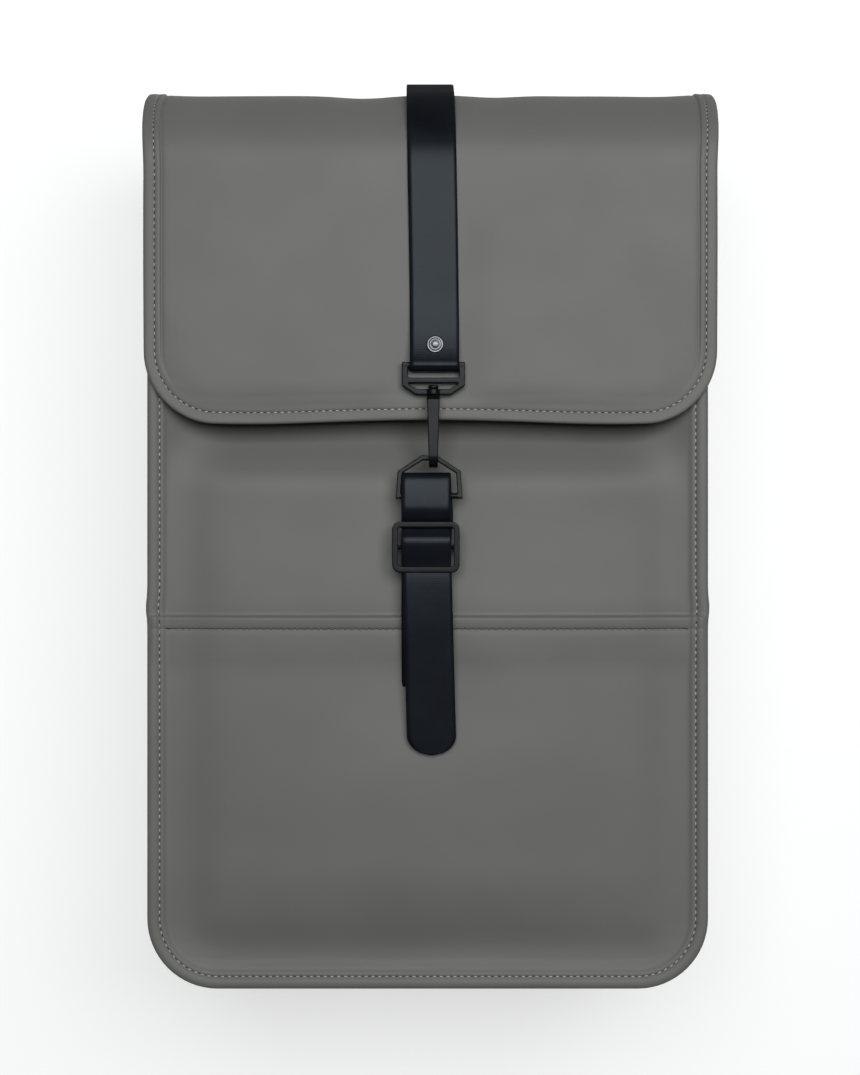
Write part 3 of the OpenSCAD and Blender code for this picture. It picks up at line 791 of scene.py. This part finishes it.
loop_points = [(-26, 435.2), (-26, 433)] + arc(-12, 418, 14, 180, 270, 8)
loop_points += arc(12, 418, 14, 270, 360, 8) + [(26, 433), (26, 435.2)]
haul = sweep("haul_handle", [(x, BACK_FACE, z) for x, z in resample(loop_points, 1.5)], 11, 3.4, webbing,
             "haul", up=(0, 1, 0), ease=1.2, across=6)
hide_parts("haul_loop")

LEAN = math.atan2(48, 392)
SPAN = math.hypot(48, 392)
BOW, ROOT_X, ROOT_Z, SWING_Y = 14.4, 64.0, 434.0, 55.0
PAD_SHARE, LOCK_SHARE = 0.66, 0.69


def pad_half(t):
    if t < 0.14:
        return 12 + 14 * math.sin(math.pi / 2 * max(t, 0) / 0.14)
    return 26 if t < 0.46 else 26 - 12 * ((t - 0.46) / (PAD_SHARE - 0.46)) ** 1.6


def on_strap(side, t, u, lift):
    """Point of a shoulder strap: share t of its length, u across, lift above its middle."""
    slope = BOW * math.pi * math.cos(math.pi * t)
    n = math.hypot(SPAN, slope)
    y = BOW * math.sin(math.pi * t) + lift * SPAN / n
    z = -t * SPAN + lift * slope / n
    a = -side * LEAN
    return (side * ROOT_X + u * math.cos(a) + z * math.sin(a), SWING_Y + y,
            ROOT_Z - u * math.sin(a) + z * math.cos(a))


def pad(name, side, t0, t1, lift, thick, mat, body, grow=0.0, square=3.4, rows=80, n=36):
    """A stuffed strap: rounded sections along the strap, drawn in at both ends."""
    verts, rings = [], []
    for i in range(rows + 1):
        t = t0 + (t1 - t0) * i / rows
        end = min(i, rows - i) / 3.0
        shrink = math.sqrt(max(0.0, 1 - (1 - min(1.0, end)) ** 2))
        half = (pad_half(t) + grow) * (0.90 + 0.10 * shrink)
        high = thick / 2 * (0.35 + 0.65 * shrink)
        row = []
        for k in range(n):
            w = 2 * math.pi * k / n
            c, s = math.cos(w), math.sin(w)
            u = half * math.copysign(abs(c) ** (2 / square), c)
            v = high * math.copysign(abs(s) ** (2 / 2.4), s)
            v += 0.18 * lump(u, t * SPAN, 24, 60 + side)
            row.append(len(verts))
            verts.append(on_strap(side, t, u, lift + v))
        rings.append(row)
    faces = stripes(rings) + [tuple(reversed(rings[0])), tuple(rings[-1])]
    return make(name, verts, faces, mat, body)


def lock_point(side, x, y, z):
    """A point given from the ladder lock's place, square to the strap there."""
    slope = math.atan2(BOW * math.pi * math.cos(math.pi * LOCK_SHARE), SPAN)
    ry = y * math.cos(slope) - z * math.sin(slope)
    rz = y * math.sin(slope) + z * math.cos(slope)
    py, pz = BOW * math.sin(math.pi * LOCK_SHARE) + ry, -LOCK_SHARE * SPAN + rz
    a = -side * LEAN
    return (side * ROOT_X + x * math.cos(a) + pz * math.sin(a), SWING_Y + py,
            ROOT_Z - x * math.sin(a) + pz * math.cos(a))


for side, word in ((-1, "left"), (1, "right")):
    body = f"shoulder_{word}"
    lateral = (math.cos(LEAN), 0, side * math.sin(LEAN))
    foam = pad(f"pad_{word}", side, 0.013, PAD_SHARE, 0.8, 6.6, coat, body)
    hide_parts(f"shoulder_pad_{word}")
    under = pad(f"pad_underside_{word}", side, 0.025, PAD_SHARE - 0.008, -2.4, 3.2, mesh_cloth,
                body, grow=-2.4)
    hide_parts(f"pad_mesh_{word}")
    for edge in (-1, 1):
        points = [on_strap(side, t, edge * (pad_half(t) - 0.1), 0.4)
                  for t in spread(0.02, PAD_SHARE - 0.004, 90)]
        sweep(f"pad_binding_{word}_{'in' if edge == -side else 'out'}", points, 2.6, 3.2, tape, body,
              lateral=lateral, across=2, ease=0.8)
    seam = Stitches(f"pad_stitch_{word}", body)
    for edge in (-1, 1):
        spots = resample([on_strap(side, t, edge * (pad_half(t) - 5.2), 4.0)
                          for t in spread(0.03, 0.645, 80)], PITCH)
        seam.run([Vector(p) for p in spots], [Vector((0, 1, 0))] * len(spots))
    seam.build()
    top = [on_strap(side, t, 0, lift) for t, lift in
           ((0.60, 4.6), (0.63, 4.5), (0.655, 3.6), (0.672, 1.5), (0.684, 1.2), (0.6895, 0.4),
            (0.6895, -0.9), (0.684, -1.5), (0.672, -1.7), (0.663, -1.8))]
    loop = sweep(f"lock_webbing_{word}", curve(top, 1.2), WEB - 0.4, 1.4, webbing, body,
                 lateral=lateral)
    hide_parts(f"lock_loop_{word}")
    run = [lock_point(side, 0, y, z) for y, z in
           ((3.0, -20.5), (3.1, -15.0), (2.0, -11.0), (-1.0, -10.0), (-2.9, -13.0), (-2.4, -19.0),
            (-1.2, -25.0))]
    run += [on_strap(side, t, 0, 0) for t in spread(LOCK_SHARE + 0.075, 0.99, 9)]
    web = sweep(f"adjuster_webbing_{word}", curve(run, 1.6), WEB - 0.4, 1.3, webbing, body,
                lateral=lateral)
    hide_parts(f"adjuster_web_{word}")
    hang = curve([lock_point(side, 0, 3.1 + 0.5 * bump(z, -60, 25), z)
                  for z in spread(-20.5, -100, 10)], 1.6)
    end = sweep(f"adjuster_end_{word}", hang, WEB - 0.4, 1.3, webbing, f"adjuster_{word}",
                lateral=lateral)
    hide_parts(f"adjuster_tail_{word}")
    x0, x1 = side * (HALF - 4), side * 102
    corners = [(x0, 68), (x0, 24), (x1, 27), (x1, 41)]
    tab = plate(f"side_tab_{word}", corners if side < 0 else corners[::-1], 43.4, 46.2, coat, "bag")
    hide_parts(f"strap_tab_{word}")
    ends = curve([(side * 112, 46.4, 30.0), (side * 112, 48.6, 31.5), (side * 112, 52.4, 35.0),
                  (side * 112, 54.6, 39.0), (side * 112, 55.0, 44.6)], 1.2)
    sweep(f"tab_webbing_{word}", ends, WEB - 0.6, 2.8, webbing, "bag", ease=0.9)
    root = curve([(side * ROOT_X, 44.2, 441.5), (side * ROOT_X, 47.5, 441.4),
                  (side * ROOT_X, 51.5, 439.6), (side * ROOT_X, 54.6, 435.4),
                  (side * ROOT_X, 55.6, 430.0)], 1.2)
    root_piece = sweep(f"strap_root_webbing_{word}", root, 23, 4.0, coat, None,
                       ease=1.2)
    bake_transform(root_piece)
    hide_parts(f"strap_root_{word}")

for s in (-1, 1):
    sweep("zipper_tape_upper" if s > 0 else "zipper_tape_lower",
          [(x, 43.3, 150 + s * 4.4) for x in spread(-79, 79, 40)], 7.6, 0.9, tape, "bag",
          lateral=(0, 0, 1), across=4)
teeth_verts, teeth_faces = [], []
for i in range(116):
    x = -74 + i * 1.27
    z = 150 + (0.55 if i % 2 else -0.55)
    rings = []
    for dx, h in ((-0.5, 0.55), (-0.3, 0.8), (0.3, 0.8), (0.5, 0.55)):
        row = []
        for k in range(8):
            w = math.pi * k / 4
            row.append(len(teeth_verts))
            teeth_verts.append((x + dx, 43.8 + 0.65 * math.cos(w) * h / 0.8,
                                z + 1.15 * math.sin(w) * h / 0.8))
        rings.append(row)
    teeth_faces += stripes(rings) + [tuple(reversed(rings[0])), tuple(rings[-1])]
teeth = make("zipper_teeth", teeth_verts, teeth_faces, plastic, "bag")
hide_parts("zipper_coil", "zipper_tapes")

# ---------------------------------------------------------------- CAD pieces that stay

# Node: its material and bevel in mm. None means a voxel remesh, where a bevel would grow spikes.
VOXEL = 0.3
HARDWARE = {
    "hook_ring": (black_metal, None), "hook_body": (black_metal, 0.6), "hook_gate": (black_metal, 0.45),
    "d_ring": (black_metal, None), "slider_frame": (black_metal, None), "slider_bar": (black_metal, 0.2),
    "gate_pin": (gunmetal, 0.15), "rivet_post": (gunmetal, 0.1), "zipper_slider": (gunmetal, 0.3),
    "zipper_pull": (gunmetal, 0.35), "ladder_lock_left": (plastic, 0.6),
    "ladder_lock_right": (plastic, 0.6),
}
for node, (mat, size) in HARDWARE.items():
    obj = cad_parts[node]
    for k in range(len(obj.material_slots)):
        obj.material_slots[k].material = mat
    weld = obj.modifiers.new("weld", "WELD")
    weld.merge_threshold = 0.00002
    if size is None:
        wire = obj.modifiers.new("wire", "REMESH")
        wire.mode = "VOXEL"
        wire.voxel_size = VOXEL * MM
        wire.use_smooth_shade = True
        ease = obj.modifiers.new("rounding", "SMOOTH")
        ease.factor = 0.5
        ease.iterations = 10
        continue
    bevel = obj.modifiers.new("edges", "BEVEL")
    bevel.width = size * MM
    bevel.segments = 4
    bevel.limit_method = "ANGLE"
    bevel.angle_limit = math.radians(35)
    bevel.use_clamp_overlap = False
    bevel.loop_slide = False
    normals = obj.modifiers.new("shading", "WEIGHTED_NORMAL")
    normals.weight = 100

# ---------------------------------------------------------------- stage, lights, camera

floor_mat = Nodes("pale_ground", (0.5, 0.5, 0.5), 0.9, specular=0.0)
floor_mat.bsdf.inputs["Emission Color"].default_value = (1, 1, 1, 1)
floor_mat.bsdf.inputs["Emission Strength"].default_value = 0.6
see_through = floor_mat.add("ShaderNodeBsdfTransparent")
both = floor_mat.add("ShaderNodeMixShader")
back_side = floor_mat.add("ShaderNodeNewGeometry")
floor_mat.link(back_side.outputs["Backfacing"], both.inputs["Fac"])
floor_mat.link(floor_mat.bsdf.outputs["BSDF"], both.inputs[1])
floor_mat.link(see_through.outputs["BSDF"], both.inputs[2])
floor_mat.link(both.outputs["Shader"], floor_mat.tree.nodes["Material Output"].inputs["Surface"])

WALL_Y = 104            # clear of the open flap
wall = [(x, WALL_Y, z) for z in (-2400, 2800) for x in (-2600, 2600)]
ground = make("backdrop", wall, [(0, 1, 3, 2)], floor_mat.mat)
ground.visible_shadow = False
ground.visible_glossy = False
shell_mat = Nodes("pale_surround", (0, 0, 0), 1, specular=0)
shell_mat.bsdf.inputs["Emission Color"].default_value = (0.8, 0.8, 0.81, 1)
shell_mat.bsdf.inputs["Emission Strength"].default_value = 0.9
reach = (-4000, 4000)
shell = make("surround", [(x, y, z) for x in reach for y in reach for z in reach],
             [(0, 1, 3, 2), (4, 6, 7, 5), (0, 4, 5, 1), (2, 3, 7, 6), (0, 2, 6, 4), (1, 5, 7, 3)],
             shell_mat.mat, faceted=True)
for ray in ("visible_diffuse", "visible_glossy", "visible_shadow", "visible_transmission"):
    setattr(shell, ray, False)


def area(name, location, target, size, power, color=(1, 1, 1)):
    light = bpy.data.lights.new(name, "AREA")
    light.shape = "RECTANGLE"
    light.size, light.size_y = size
    light.energy = power
    light.color = color
    obj = bpy.data.objects.new(name, light)
    bpy.context.scene.collection.objects.link(obj)
    obj.location = location
    obj.rotation_euler = (Vector(target) - Vector(location)).to_track_quat("-Z", "Y").to_euler()
    return obj


area("key_softbox", (0.20, -1.75, 0.74), (0, 0, 0.18), (1.8, 1.0), 34.5, (0.97, 0.985, 1.0))
area("back_fill", (0.5, 1.5, 1.2), (0, 0, 0.25), (1.6, 1.2), 52).visible_glossy = False

world = bpy.data.worlds.new("studio")
world.use_nodes = True
world.node_tree.nodes["Background"].inputs["Color"].default_value = (1, 1, 1, 1)
world.node_tree.nodes["Background"].inputs["Strength"].default_value = 0.08
bpy.context.scene.world = world
bpy.context.scene.view_settings.view_transform = "Standard"

camera_data = bpy.data.cameras.new("camera")
camera_data.lens = 67.9
camera_data.sensor_width = 36
camera_data.clip_start, camera_data.clip_end = 0.01, 20
camera = bpy.data.objects.new("camera", camera_data)
bpy.context.scene.collection.objects.link(camera)
camera.location = (0.0012, -1.095, 0.2309)
camera.rotation_euler = (math.radians(90), 0, 0)
bpy.context.scene.camera = camera
